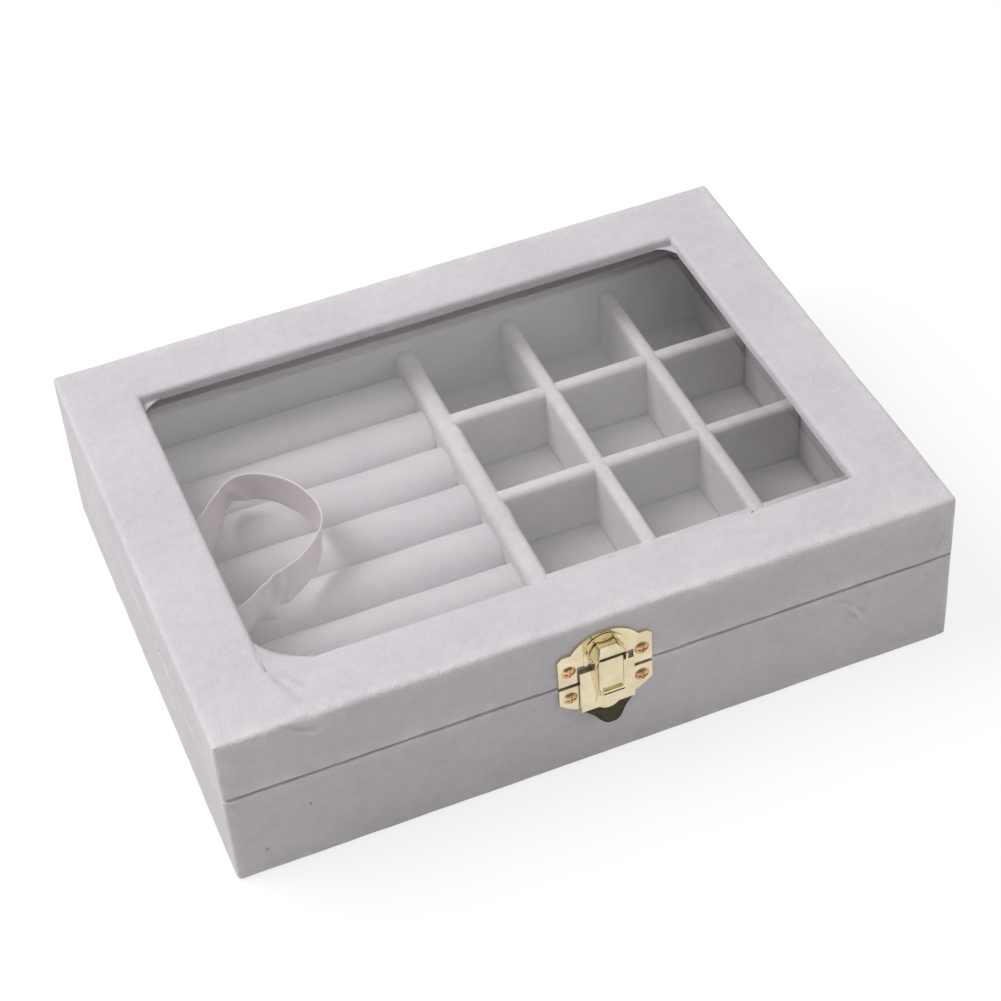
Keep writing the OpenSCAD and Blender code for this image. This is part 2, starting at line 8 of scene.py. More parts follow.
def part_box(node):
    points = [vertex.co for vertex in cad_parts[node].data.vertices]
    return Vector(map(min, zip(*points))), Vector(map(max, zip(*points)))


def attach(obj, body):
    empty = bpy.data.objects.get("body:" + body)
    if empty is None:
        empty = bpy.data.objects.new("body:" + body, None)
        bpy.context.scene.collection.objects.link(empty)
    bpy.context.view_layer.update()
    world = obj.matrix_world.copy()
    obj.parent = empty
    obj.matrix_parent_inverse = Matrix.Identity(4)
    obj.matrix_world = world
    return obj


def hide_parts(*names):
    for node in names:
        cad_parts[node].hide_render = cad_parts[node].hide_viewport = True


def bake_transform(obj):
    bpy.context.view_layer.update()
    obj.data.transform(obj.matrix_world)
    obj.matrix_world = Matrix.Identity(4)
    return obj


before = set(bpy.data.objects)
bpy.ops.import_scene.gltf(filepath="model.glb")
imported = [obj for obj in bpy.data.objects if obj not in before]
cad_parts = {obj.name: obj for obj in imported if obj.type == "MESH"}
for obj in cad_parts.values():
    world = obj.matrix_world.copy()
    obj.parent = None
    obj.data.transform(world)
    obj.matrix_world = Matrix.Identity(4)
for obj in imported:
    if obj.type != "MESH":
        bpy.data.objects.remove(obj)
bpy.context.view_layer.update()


# THE VIEW
# The eye stands in front of the box, a little to its left and well above it, and looks down through
# the window. The lens is long, so that the sides of the box stay nearly parallel.

mm = 0.001
azimuth = math.radians(-18.97)
elevation = math.radians(43.41)
tilt = math.radians(-4.56)
looked_at = Vector((2.61, -0.17, 25.0)) * mm
distance = 684.16 * mm

backwards = Vector((math.sin(azimuth) * math.cos(elevation),
                    -math.cos(azimuth) * math.cos(elevation),
                    math.sin(elevation)))
level_right = Vector((0, 0, 1)).cross(backwards).normalized()
level_up = backwards.cross(level_right)
right = level_right * math.cos(tilt) + level_up * math.sin(tilt)
up = level_up * math.cos(tilt) - level_right * math.sin(tilt)

lens = bpy.data.cameras.new("eye")
lens.sensor_width = 36
lens.lens = 90.04
lens.clip_start = 10 * mm
eye = bpy.data.objects.new("eye", lens)
eye.matrix_world = (Matrix.Translation(looked_at + backwards * distance)
                    @ Matrix((right, up, backwards)).transposed().to_4x4())
bpy.context.scene.collection.objects.link(eye)
bpy.context.scene.camera = eye
bpy.context.scene.view_settings.view_transform = "Standard"


# FLOOR AND LIGHT
# The box stands on a pale sheet in a white tent, with one large soft lamp high on its left and a weak one
# low on each side. A black card over its right end takes the white off the last column of the glass,
# and one in front draws the dark lines that shape polished brass.

def add(tree, kind, settings=None, **sockets):
    """A new node with its settings made and its sockets set or plugged in."""
    made = tree.nodes.new(kind)
    for name, value in (settings or {}).items():
        setattr(made, name, value)
    for name, value in sockets.items():
        plug(tree, made.inputs[name.replace("_", " ")], value)
    return made


def plug(tree, socket, value):
    if isinstance(value, bpy.types.NodeSocket):
        tree.links.new(value, socket)
    else:
        socket.default_value = value


def math_node(tree, operation, *values):
    made = tree.nodes.new("ShaderNodeMath")
    made.operation = operation
    for socket, value in zip(made.inputs, values):
        plug(tree, socket, value)
    return made.outputs[0]


def empty_material(name):
    material = bpy.data.materials.new(name)
    material.use_nodes = True
    material.node_tree.nodes.clear()
    return material


def seen_directly(tree):
    """1 for what the eye, a reflection or the glass shows, 0 for the light that falls on things."""
    path = add(tree, "ShaderNodeLightPath")
    seen = math_node(tree, "MAXIMUM", path.outputs["Is Camera Ray"], path.outputs["Is Glossy Ray"])
    return math_node(tree, "MAXIMUM", seen, path.outputs["Is Transmission Ray"])


tent_light = 0.45
tent = bpy.data.worlds.new("white tent")
tent.use_nodes = True
tree = tent.node_tree
tree.nodes.clear()
seen = seen_directly(tree)
glow = math_node(tree, "ADD", math_node(tree, "MULTIPLY", seen, 1 - tent_light), tent_light)
sky = add(tree, "ShaderNodeBackground", Color=(1, 1, 1, 1), Strength=glow)
add(tree, "ShaderNodeOutputWorld", Surface=sky.outputs[0])
bpy.context.scene.world = tent

paper_colour = (0.6, 0.6, 0.6, 1)
shadow_share = (0.25, 0.25, 0.25, 1)
paper_glow = 0.77
paper = empty_material("floor paper")
tree = paper.node_tree
shade = add(tree, "ShaderNodeBsdfDiffuse", Color=paper_colour)
pale_shade = add(tree, "ShaderNodeBsdfDiffuse", Color=shadow_share)
white = add(tree, "ShaderNodeEmission", Color=(1, 1, 1, 1), Strength=paper_glow)
shown = add(tree, "ShaderNodeAddShader")
tree.links.new(pale_shade.outputs[0], shown.inputs[0])
tree.links.new(white.outputs[0], shown.inputs[1])
surface = add(tree, "ShaderNodeMixShader", Fac=seen_directly(tree))
tree.links.new(shade.outputs[0], surface.inputs[1])
tree.links.new(shown.outputs[0], surface.inputs[2])
see_through = add(tree, "ShaderNodeBsdfTransparent")
one_sided = add(tree, "ShaderNodeMixShader",
                Fac=add(tree, "ShaderNodeNewGeometry").outputs["Backfacing"])
tree.links.new(surface.outputs[0], one_sided.inputs[1])
tree.links.new(see_through.outputs[0], one_sided.inputs[2])
add(tree, "ShaderNodeOutputMaterial", Surface=one_sided.outputs[0])

paper_half = 3
paper_top = -0.1 * mm
bm = bmesh.new()
bmesh.ops.create_grid(bm, x_segments=1, y_segments=1, size=paper_half)
bmesh.ops.translate(bm, verts=bm.verts, vec=(0, 0, paper_top))
mesh = bpy.data.meshes.new("floor")
bm.to_mesh(mesh)
bm.free()
mesh.materials.append(paper)
floor = bpy.data.objects.new("floor", mesh)
bpy.context.scene.collection.objects.link(floor)


def hang_lamp(name, direction, away, size, energy):
    """A round soft lamp that faces the box from a direction and doesn't show in gloss."""
    direction = Vector(direction).normalized()
    light = bpy.data.lights.new(name, "AREA")
    light.shape = "DISK"
    light.size = size
    light.energy = energy
    lamp = bpy.data.objects.new(name, light)
    lamp.matrix_world = (Matrix.Translation(direction * away)
                         @ direction.to_track_quat("Z", "Y").to_matrix().to_4x4())
    lamp.visible_glossy = False
    bpy.context.scene.collection.objects.link(lamp)


hang_lamp("softbox", (-0.54, 0.24, 0.81), 1.6, 1.1, 17.4)
hang_lamp("fill", (0.80, -0.50, 0.42), 0.8, 0.5, 0.75)
hang_lamp("side_fill", (-1, 0.12, 0.12), 1.5, 0.8, 0.8)

# The card over the right end fades out to its left; the one in front, lower down, is black all over
fade_from = 0.45
fade_to = 0.59
front_card_below = 0.5
black_card = empty_material("black card")
tree = black_card.node_tree
place = add(tree, "ShaderNodeTexCoord").outputs["Object"]
apart = add(tree, "ShaderNodeSeparateXYZ", Vector=place)
soft_edge = add(tree, "ShaderNodeMapRange", {"interpolation_type": "SMOOTHSTEP"},
                Value=apart.outputs["X"], From_Min=fade_from, From_Max=fade_to)
low_down = math_node(tree, "LESS_THAN", apart.outputs["Z"], front_card_below)
nothing = add(tree, "ShaderNodeBsdfTransparent")
black = add(tree, "ShaderNodeBsdfDiffuse", Color=(0.04, 0.04, 0.04, 1))
cover = add(tree, "ShaderNodeMixShader",
            Fac=math_node(tree, "MAXIMUM", soft_edge.outputs["Result"], low_down))
tree.links.new(nothing.outputs[0], cover.inputs[1])
tree.links.new(black.outputs[0], cover.inputs[2])
add(tree, "ShaderNodeOutputMaterial", Surface=cover.outputs[0])


def hang_card(name, wide, tall, centre, lean):
    """A black card that only shows in gloss, tipped up from the horizontal by so many degrees."""
    bm = bmesh.new()
    bmesh.ops.create_grid(bm, x_segments=1, y_segments=1, size=0.5)
    bmesh.ops.scale(bm, verts=bm.verts, vec=(wide, tall, 1))
    bmesh.ops.rotate(bm, verts=bm.verts, matrix=Matrix.Rotation(math.radians(lean), 3, "X"))
    bmesh.ops.translate(bm, verts=bm.verts, vec=centre)
    mesh = bpy.data.meshes.new(name)
    bm.to_mesh(mesh)
    bm.free()
    mesh.materials.append(black_card)
    card = bpy.data.objects.new(name, mesh)
    card.visible_camera = False
    card.visible_diffuse = False
    card.visible_transmission = False
    card.visible_shadow = False
    bpy.context.scene.collection.objects.link(card)


hang_card("card_over_right_end", 0.38, 0.9, (0.64, 1.05, 1), 0)
hang_card("card_in_front", 1.4, 0.47, (0.15, -0.6, 0.255), 90)


# BOARDS AND CARD
# The walls, floor and window frame are 4, 3 and 2.4 mm fibreboard, glued up. They show only as a raw
# edge or two. The bed under the ring rolls and the sheet under the box are thin grey card.

def new_group(name, inputs, outputs):
    group = bpy.data.node_groups.new(name, "ShaderNodeTree")
    for label, kind, value in inputs:
        socket = group.interface.new_socket(label, in_out="INPUT", socket_type=kind)
        if value is not None:
            socket.default_value = value
    for label, kind in outputs:
        group.interface.new_socket(label, in_out="OUTPUT", socket_type=kind)
    return group


def place_group(tree, group, **sockets):
    return add(tree, "ShaderNodeGroup", {"node_tree": group}, **sockets)


def colour_ramp(tree, factor, *stops):
    made = add(tree, "ShaderNodeValToRGB", Fac=factor)
    elements = made.color_ramp.elements
    while len(elements) < len(stops):
        elements.new(1)
    for element, (place, colour) in zip(elements, stops):
        element.position = place
        element.color = (*colour, 1)
    return made.outputs["Color"]


# Mottle: broad clouds, mid-size flecks and fine grain in one tone, and flecks and grain as a height
mottle = new_group("mottle",
                   [("Cloud Size", "NodeSocketFloat", 0.03), ("Fleck Size", "NodeSocketFloat", 0.004),
                    ("Grain Size", "NodeSocketFloat", 0.0006), ("Grain Share", "NodeSocketFloat", 0.4)],
                   [("Tone", "NodeSocketFloat"), ("Height", "NodeSocketFloat")])
tree = mottle
given = add(tree, "NodeGroupInput")
place = add(tree, "ShaderNodeTexCoord").outputs["Object"]
noises = {}
for layer, detail in (("Cloud", 3.0), ("Fleck", 3.0), ("Grain", 2.0)):
    fineness = math_node(tree, "DIVIDE", 1.0, given.outputs[layer + " Size"])
    noises[layer] = add(tree, "ShaderNodeTexNoise", Vector=place, Scale=fineness,
                        Detail=detail).outputs[0]
cloud_share = 0.6
cloud_part = math_node(tree, "MULTIPLY", noises["Cloud"], cloud_share)
fleck_part = math_node(tree, "MULTIPLY", noises["Fleck"], 1 - cloud_share)
broad = math_node(tree, "ADD", cloud_part, fleck_part)
broad_share = math_node(tree, "SUBTRACT", 1.0, given.outputs["Grain Share"])
coarse_part = math_node(tree, "MULTIPLY", broad, broad_share)
fine_part = math_node(tree, "MULTIPLY", noises["Grain"], given.outputs["Grain Share"])
add(tree, "NodeGroupOutput", Tone=math_node(tree, "ADD", coarse_part, fine_part),
    Height=math_node(tree, "ADD", noises["Grain"], math_node(tree, "MULTIPLY", noises["Fleck"], 0.5)))


def finish_in(tree, colour, height=None, depth=0.0001, strength=0.5, **sockets):
    """The surface of a material: its colour, and its relief as a bump of so many metres."""
    surface = add(tree, "ShaderNodeBsdfPrincipled", Base_Color=colour, **sockets)
    if height is not None:
        bump = add(tree, "ShaderNodeBump", Height=height, Distance=depth, Strength=strength)
        tree.links.new(bump.outputs[0], surface.inputs["Normal"])
    add(tree, "ShaderNodeOutputMaterial", Surface=surface.outputs[0])


fibreboard = empty_material("fibreboard")
tree = fibreboard.node_tree
fibres = place_group(tree, mottle, Cloud_Size=0.012, Fleck_Size=0.0015, Grain_Size=0.0003, Grain_Share=0.5)
finish_in(tree, colour_ramp(tree, fibres.outputs["Tone"], (0.35, (0.20, 0.13, 0.08)),
                            (0.65, (0.34, 0.24, 0.16))), fibres.outputs["Height"], Roughness=0.85)

grey_card = empty_material("grey card")
tree = grey_card.node_tree
pulp = place_group(tree, mottle, Cloud_Size=0.02, Fleck_Size=0.0012, Grain_Size=0.0002, Grain_Share=0.5)
finish_in(tree, colour_ramp(tree, pulp.outputs["Tone"], (0.35, (0.42, 0.40, 0.38)),
                            (0.65, (0.56, 0.54, 0.52))), pulp.outputs["Height"],
          depth=0.00005, Roughness=0.8)


def finish_node(node, material):
    """A CAD node whose shape is right stays, and gets its finish."""
    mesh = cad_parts[node].data
    mesh.materials.clear()
    mesh.materials.append(material)


for name in ("base_front_board", "base_back_board", "base_side_boards", "base_floor_board",
             "lid_front_board", "lid_back_board", "lid_side_boards", "lid_window_frame"):
    finish_node(name, fibreboard)
finish_node("ring_bed", grey_card)


def make_piece(name, bm, body, material, stands_for=()):
    """Turns finished bmesh work into a piece that moves with a body."""
    mesh = bpy.data.meshes.new(name)
    bm.to_mesh(mesh)
    bm.free()
    for polygon in mesh.polygons:
        polygon.use_smooth = True
    mesh.materials.append(material)
    piece = bpy.data.objects.new(name, mesh)
    bpy.context.scene.collection.objects.link(piece)
    if body:
        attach(piece, body)
    if stands_for:
        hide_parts(*stands_for)
    return piece


def copy_of(node):
    """A merged copy of a CAD node, with its flat faces whole again."""
    bm = bmesh.new()
    bm.from_mesh(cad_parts[node].data)
    bmesh.ops.remove_doubles(bm, verts=bm.verts, dist=0.001 * mm)
    bmesh.ops.dissolve_limit(bm, angle_limit=math.radians(1), verts=bm.verts, edges=bm.edges)
    return bm


def round_edges(bm, radius, segments=2, sharper_than=35):
    """Bevels every edge of a shape that turns more sharply than so many degrees."""
    sharp = [edge for edge in bm.edges
             if len(edge.link_faces) == 2 and edge.calc_face_angle() > math.radians(sharper_than)]
    bmesh.ops.bevel(bm, geom=sharp, offset=radius, offset_type="OFFSET", segments=segments,
                    profile=0.5, affect="EDGES", clamp_overlap=True, material=-1)


bm = copy_of("underside_sheet")
round_edges(bm, 0.15 * mm)
make_piece("underside_paper", bm, "base", grey_card, ["underside_sheet"])


# BASE COVER
# Lilac-grey velvet, stretched round the walls of the base and glued down over the rim and 12 mm in
# under the bottom. The cloth lies tight and smooth, with a pucker where it was pulled at a corner.

outer_velvet = empty_material("outer velvet")
tree = outer_velvet.node_tree
nap = place_group(tree, mottle, Cloud_Size=0.03, Fleck_Size=0.0028, Grain_Size=0.0006, Grain_Share=0.2)
# Paler edges: pile worn flat, and partly a painted highlight along every outer edge.
wear_and_highlight = add(tree, "ShaderNodeAttribute", {"attribute_name": "wear_and_highlight"}).outputs["Fac"]
tone = math_node(tree, "ADD", nap.outputs["Tone"], math_node(tree, "MULTIPLY", wear_and_highlight, 0.32))
ruffled = math_node(tree, "ADD", 1.0, math_node(tree, "MULTIPLY", wear_and_highlight, 0.8))
finish_in(tree, colour_ramp(tree, tone, (0.3, (0.585, 0.55, 0.583)), (0.7, (0.71, 0.675, 0.707)),
                            (0.95, (0.82, 0.79, 0.80))),
          math_node(tree, "MULTIPLY", nap.outputs["Height"], ruffled), depth=0.0006, strength=0.4,
          Roughness=0.9, Specular_IOR_Level=0.2, Sheen_Weight=0.15, Sheen_Roughness=0.5)

box_wide = 200 * mm
box_deep = 150 * mm
rim_wide = 4.8 * mm


def face_towards(bm, direction):
    """The flat face of a blank that looks furthest in a direction."""
    bm.normal_update()
    facing = [face for face in bm.faces if face.normal.dot(direction) > 0.99]
    return max(facing, key=lambda face: face.calc_center_median().dot(direction))


def open_up(bm, direction, border, turned_in):
    """Cuts an opening in a flat side, leaving a border, and turns the cloth in along its edge."""
    opening = face_towards(bm, direction)
    bmesh.ops.inset_region(bm, faces=[opening], thickness=border, use_even_offset=True)
    pulled = bmesh.ops.extrude_face_region(bm, geom=[opening])["geom"]
    moved = [part for part in pulled if isinstance(part, bmesh.types.BMVert)]
    bmesh.ops.translate(bm, verts=moved, vec=direction * -turned_in)
    bmesh.ops.delete(bm, geom=[opening] + [part for part in pulled
                                           if isinstance(part, bmesh.types.BMFace)], context="FACES")


def bevel_where(bm, radius, segments, wanted):
    """Rounds the edges whose two ends are the wanted ones."""
    edges = [edge for edge in bm.edges
             if len(edge.link_faces) == 2 and wanted(*(vert.co for vert in edge.verts))]
    bmesh.ops.bevel(bm, geom=edges, offset=radius, offset_type="OFFSET", segments=segments,
                    profile=0.5, affect="EDGES", clamp_overlap=True, material=-1)


def refine(bm, cuts, longer_than, shorter_than=1.0, wanted=lambda a, b: True):
    """Cuts the long edges of one kind into short ones, so that the cloth can be worked by hand."""
    edges = [edge for edge in bm.edges
             if longer_than < edge.calc_length() < shorter_than
             and wanted(*(vert.co for vert in edge.verts))]
    bmesh.ops.subdivide_edges(bm, edges=edges, cuts=cuts, use_grid_fill=True)


def work_finer(bm, low, high):
    """Halves the squares of the cloth inside a box, where folds are to be pressed in."""
    inside = lambda point: all(a * mm < value < b * mm for a, value, b in zip(low, point, high))
    edges = [edge for edge in bm.edges if all(inside(vert.co) for vert in edge.verts)
             and edge.calc_length() > 0.4 * mm]
    bmesh.ops.subdivide_edges(bm, edges=edges, cuts=1, use_grid_fill=True)


def hand_worked(bm, seed, sway, ripple):
    """Cloth pulled round a board by hand is never quite flat."""
    bm.normal_update()
    place = Vector((seed * 0.31, seed * 0.17, 0))
    for vert in bm.verts:
        wide = noise.noise((vert.co + place) / (32 * mm))
        small = noise.noise((vert.co + place) / (7 * mm))
        vert.co += vert.normal * (wide * sway + small * ripple)


def waver(bm, rim, reach, amount):
    """The cloth turns over a rim at an uneven height, as far as a hand pulled it."""
    for vert in bm.verts:
        near = max(0, 1 - abs(vert.co.z - rim) / reach)
        place = Vector((vert.co.x, vert.co.y, rim))
        uneven = noise.noise(place / (9 * mm)) + 0.6 * noise.noise(place / (2.5 * mm))
        vert.co.z += near * amount * uneven


def fold(bm, points, width, height):
    """Raises a fold in the cloth along a line of points, or presses it in if its height is below 0."""
    points = [Vector(point) * mm for point in points]
    last = len(points) - 1
    for vert in bm.verts:
        nearest = None
        for step, (start, end) in enumerate(zip(points, points[1:])):
            line = end - start
            along = min(max((vert.co - start).dot(line) / line.length_squared, 0), 1)
            away = (vert.co - start - line * along).length
            if nearest is None or away < nearest:
                nearest = away
                share = (step + along) / last
        if nearest < width * 3:
            fade = math.sin(math.pi * (0.08 + 0.84 * share))
            vert.co += vert.normal * height * fade * math.exp(-(nearest / width) ** 2)


def note_wear_and_highlight(bm, low, high, reach):
    """Marks in an attribute the outer edges, where the pile is worn flat and a pale highlight is painted,
    least on the left.
    """
    layer = bm.verts.layers.float.new("wear_and_highlight")
    for vert in bm.verts:
        insides = sorted((box_wide / 2 - abs(vert.co.x), box_deep / 2 - abs(vert.co.y),
                          high - vert.co.z, vert.co.z - low))
        patchy = 0.6 + 0.7 * noise.noise(vert.co / (6 * mm)) + 0.5 * noise.noise(vert.co / (1.8 * mm))
        # The painted highlight is kept weakest on the left, where the softbox already lights the edges.
        on_left = vert.co.x < reach - box_wide / 2 and vert.co.y > reach - box_deep / 2
        left_highlight_share = 0.35 if on_left else 1
        vert[layer] = max(0, 1 - (insides[0] + insides[1]) / reach) * patchy * left_highlight_share


base_low = 0.5 * mm
base_high = 29.75 * mm
bm = bmesh.new()
bmesh.ops.create_cube(bm, size=1)
bmesh.ops.scale(bm, verts=bm.verts, vec=(box_wide, box_deep, base_high - base_low))
bmesh.ops.translate(bm, verts=bm.verts, vec=(0, 0, (base_high + base_low) / 2))
open_up(bm, Vector((0, 0, 1)), rim_wide, 1 * mm)
open_up(bm, Vector((0, 0, -1)), 12 * mm, 0.7 * mm)


def at_side(*points):
    """Whether all the points are on the outer walls."""
    return all(min(abs(abs(point.x) - box_wide / 2), abs(abs(point.y) - box_deep / 2)) < 2 * mm
               for point in points)


def inward(*points):
    """Whether none of the points is on the outer walls."""
    return not any(at_side(point) for point in points)


def at_height(height, *points):
    """Whether all the points are at one height."""
    return all(abs(point.z - height) < 0.1 * mm for point in points)


upright_corner = 1.3 * mm
rim_round = 1.5 * mm
inner_edge = 0.5 * mm
bevel_where(bm, upright_corner, 4, lambda a, b: at_side(a, b) and abs(a.z - b.z) > 20 * mm)
bevel_where(bm, rim_round, 4, lambda a, b: at_side(a, b)
            and (at_height(base_low, a, b) or at_height(base_high, a, b)))
bevel_where(bm, inner_edge, 2, lambda a, b: inward(a, b) and at_height(base_high, a, b))
# The cloth is cut into squares of about a millimetre: along the box, across it, and up the walls
cuts_along = 219
cuts_across = 163
refine(bm, cuts_along, 160 * mm)
refine(bm, cuts_across, 110 * mm)
refine(bm, 29, 20 * mm, wanted=lambda a, b: abs(a.z - b.z) > 15 * mm)
refine(bm, 3, 3 * mm)
hand_worked(bm, 1, 0.16 * mm, 0.1 * mm)
waver(bm, base_high, rim_round, 0.2 * mm)
work_finer(bm, (62, -76, 16), (97, -74, 29))
work_finer(bm, (-101, -76, 26), (-92, -74, 30))
# Puckers towards the right end of the front, and one at its left end below the seam
fold(bm, [(65.6, -75, 25.9), (68.9, -75, 25.2), (71.4, -75, 23.2)], 0.6 * mm, -0.65 * mm)
fold(bm, [(69.9, -75, 22.7), (71.8, -75, 20.8), (73, -75, 18.3)], 0.8 * mm, 0.8 * mm)
fold(bm, [(71.4, -75, 22.6), (73.4, -75, 20.4), (74.6, -75, 18.2)], 0.6 * mm, -0.6 * mm)
fold(bm, [(74, -75, 25.4), (75.9, -75, 25)], 0.6 * mm, -0.45 * mm)
fold(bm, [(90.9, -75, 22.4), (93.7, -75, 22.7)], 0.5 * mm, -0.5 * mm)
fold(bm, [(91.2, -75, 26.5), (92.7, -75, 25.2)], 0.5 * mm, -0.5 * mm)
fold(bm, [(-100, -75, 28.6), (-97.5, -75, 27.6), (-94.5, -75, 28.1)], 0.6 * mm, -0.6 * mm)
note_wear_and_highlight(bm, base_low, base_high, 3 * mm)
make_piece("base_velvet", bm, "base", outer_velvet, ["base_cover"])


# LID COVER
# The same velvet in one piece over the top, down the walls and in over the rim. It is slit at the
# window's corners and turned in over the edge of the frame. The front left corner is creased.

lid_low = 30.7 * mm
lid_high = 50 * mm
window_x = 80 * mm
window_y = 56 * mm
glass_top = 46.8 * mm
bm = bmesh.new()
bmesh.ops.create_cube(bm, size=1)
bmesh.ops.scale(bm, verts=bm.verts, vec=(box_wide, box_deep, lid_high - lid_low))
bmesh.ops.translate(bm, verts=bm.verts, vec=(0, 0, (lid_high + lid_low) / 2))
open_up(bm, Vector((0, 0, -1)), rim_wide, 1 * mm)
open_up(bm, Vector((0, 0, 1)), box_deep / 2 - window_y, lid_high - glass_top)
in_window = [vert for vert in bm.verts if abs(vert.co.y) < window_y + 1 * mm]
bmesh.ops.scale(bm, verts=in_window, vec=(window_x / (box_wide / 2 - box_deep / 2 + window_y), 1, 1))
top_corner = 1.35 * mm
window_edge = 1.3 * mm
bevel_where(bm, top_corner, 5, lambda a, b: at_side(a, b) and not at_height(lid_low, a, b))
bevel_where(bm, rim_round, 4, lambda a, b: at_side(a, b) and at_height(lid_low, a, b))
bevel_where(bm, window_edge, 4, lambda a, b: inward(a, b) and at_height(lid_high, a, b))
refine(bm, cuts_along, 155 * mm)
refine(bm, cuts_across, 100 * mm)
refine(bm, 20, 10 * mm)
refine(bm, 3, 3 * mm)
hand_worked(bm, 4, 0.2 * mm, 0.09 * mm)
waver(bm, lid_low, rim_round, 0.2 * mm)
work_finer(bm, (-92, -76, 42), (-66, -53, 51))
work_finer(bm, (90, -76, 31.5), (99, -74, 43))
# Creases that run from the window's front left corner over the edge and down the front
fold(bm, [(-81.5, -54, 50), (-80, -61.3, 50), (-77.8, -67.1, 50), (-76.1, -72.5, 50)],
     1.4 * mm, 0.55 * mm)
fold(bm, [(-80, -56, 50), (-78.3, -61.3, 50), (-76.2, -66.8, 50)], 0.9 * mm, -0.4 * mm)
fold(bm, [(-77.5, -57, 50), (-74.8, -60.6, 50), (-72.9, -64.1, 50), (-70, -66.5, 50)],
     0.9 * mm, -0.6 * mm)
fold(bm, [(-80.7, -63.6, 50), (-79.1, -67.2, 50), (-77.5, -70.8, 50)], 0.8 * mm, 0.4 * mm)
fold(bm, [(-86.9, -60, 50), (-81.3, -62.6, 50), (-79.4, -68.2, 50)], 1.2 * mm, 0.4 * mm)
fold(bm, [(-83, -75, 49.6), (-80.3, -75, 48), (-78.5, -75, 46.8), (-75.3, -75, 45.6)],
     0.55 * mm, -0.7 * mm)
fold(bm, [(-79, -75, 45.9), (-75.3, -75, 44.4), (-71.5, -75, 44.6)], 0.75 * mm, 1.3 * mm)
fold(bm, [(-78.8, -74.5, 49.6), (-73.5, -74.5, 49.2)], 0.9 * mm, -0.35 * mm)
# A crease up the front's right end, and a pinch on the front left corner
fold(bm, [(93.1, -75, 32.2), (95.2, -75, 35.3), (96.6, -75, 40.1)], 0.45 * mm, -0.35 * mm)
fold(bm, [(-99.4, -74.6, 48.6), (-98.4, -74.6, 49.3)], 0.5 * mm, -0.5 * mm)
note_wear_and_highlight(bm, lid_low, lid_high, 5 * mm)
make_piece("lid_velvet", bm, "lid", outer_velvet, ["lid_cover"])


def corner_web(name, corner, ends, middle, dip, pressed=0):
    """A scrap of the turned-in velvet across a window corner, with a pocket pressed in at the corner."""
    corner, left, right, middle = (Vector(point) * mm for point in (corner, *ends, middle))
    pocket_wide = 2 * mm
    bm = bmesh.new()
    bmesh.ops.create_grid(bm, x_segments=16, y_segments=8, size=0.5)
    for vert in bm.verts:
        across = vert.co.x + 0.5
        out = vert.co.y + 0.5
        edge = left.lerp(middle, across).lerp(middle.lerp(right, across), across)
        lift = dip * mm * math.sin(math.pi * out) * (1 + 0.6 * noise.noise((across * 3, out * 2, dip)))
        vert.co = corner.lerp(edge, out)
        pocket = pressed * mm * math.exp(-((vert.co - corner).length / pocket_wide) ** 2)
        vert.co.z += lift - pocket
    bmesh.ops.remove_doubles(bm, verts=bm.verts, dist=0.01 * mm)
    bmesh.ops.recalc_face_normals(bm, faces=bm.faces)
    if sum(face.normal.z for face in bm.faces) < 0:
        bmesh.ops.reverse_faces(bm, faces=bm.faces)
    bmesh.ops.solidify(bm, geom=bm.faces, thickness=0.45 * mm)
    make_piece(name, bm, "lid", outer_velvet)


corner_web("corner_web_front_left", (-81.7, -57.6, 49.6), ((-81.6, -41, 49.7), (-62, -57.4, 49.4)),
           (-78, -52, 47.2), 0.5, 1.7)
corner_web("corner_web_back_left", (-80.6, 56.8, 47.3), ((-80.3, 51.6, 47.5), (-74, 56.3, 47.5)),
           (-78.2, 54.6, 47.4), -0.1)
corner_web("corner_web_back_right", (80.6, 56.8, 47.3), ((74.4, 56.3, 47.5), (80.3, 50.8, 47.5)),
           (79, 54.9, 47.4), -0.1)


# LINING
# Card strips wrapped in a greyer, short-piled velvet are glued to the inside of the walls, and a card
# frame wrapped in the same velvet holds the glass up against the window.

lining_velvet = empty_material("lining velvet")
tree = lining_velvet.node_tree
nap = place_group(tree, mottle, Cloud_Size=0.02, Fleck_Size=0.0025, Grain_Size=0.0005, Grain_Share=0.4)
finish_in(tree, colour_ramp(tree, nap.outputs["Tone"], (0.3, (0.40, 0.382, 0.392)),
                            (0.7, (0.52, 0.50, 0.512))),
          nap.outputs["Height"], depth=0.0002, strength=0.4,
          Roughness=0.9, Specular_IOR_Level=0.2, Sheen_Weight=0.1, Sheen_Roughness=0.5)


def slice_along(bm, axis, step):
    """Cuts rings round a shape at even steps, so that its long edges can waver."""
    direction = Vector([1 if index == axis else 0 for index in range(3)])
    places = [vert.co[axis] for vert in bm.verts]
    place = min(places) + step
    while place < max(places) - step / 2:
        bmesh.ops.bisect_plane(bm, geom=bm.verts[:] + bm.edges[:] + bm.faces[:],
                               plane_co=direction * place, plane_no=direction, dist=0.001 * mm)
        place += step


def wrapped_card(name, node, body, radius, seed, sway=0.12 * mm):
    """A CAD node's card, wrapped: its edges rounded by the cloth, and not quite straight."""
    bm = copy_of(node)
    round_edges(bm, radius, 3)
    slice_along(bm, 0, 4 * mm)
    hand_worked(bm, seed, sway, 0.04 * mm)
    make_piece(name, bm, body, lining_velvet, [node])


wrapped_card("base_wall_lining", "base_liner", "base", 0.6 * mm, 11)
wrapped_card("lid_wall_lining", "lid_liner", "lid", 0.5 * mm, 12)
wrapped_card("glass_frame", "glass_retainer", "lid", 0.35 * mm, 13, 0.05 * mm)


# RING ROLLS
# Eight bars of soft foam wrapped in velvet stand side by side on their bed, so that a ring's shank
# fits between two of them. The foam pushes the cloth out into a crown, and the ends round off.

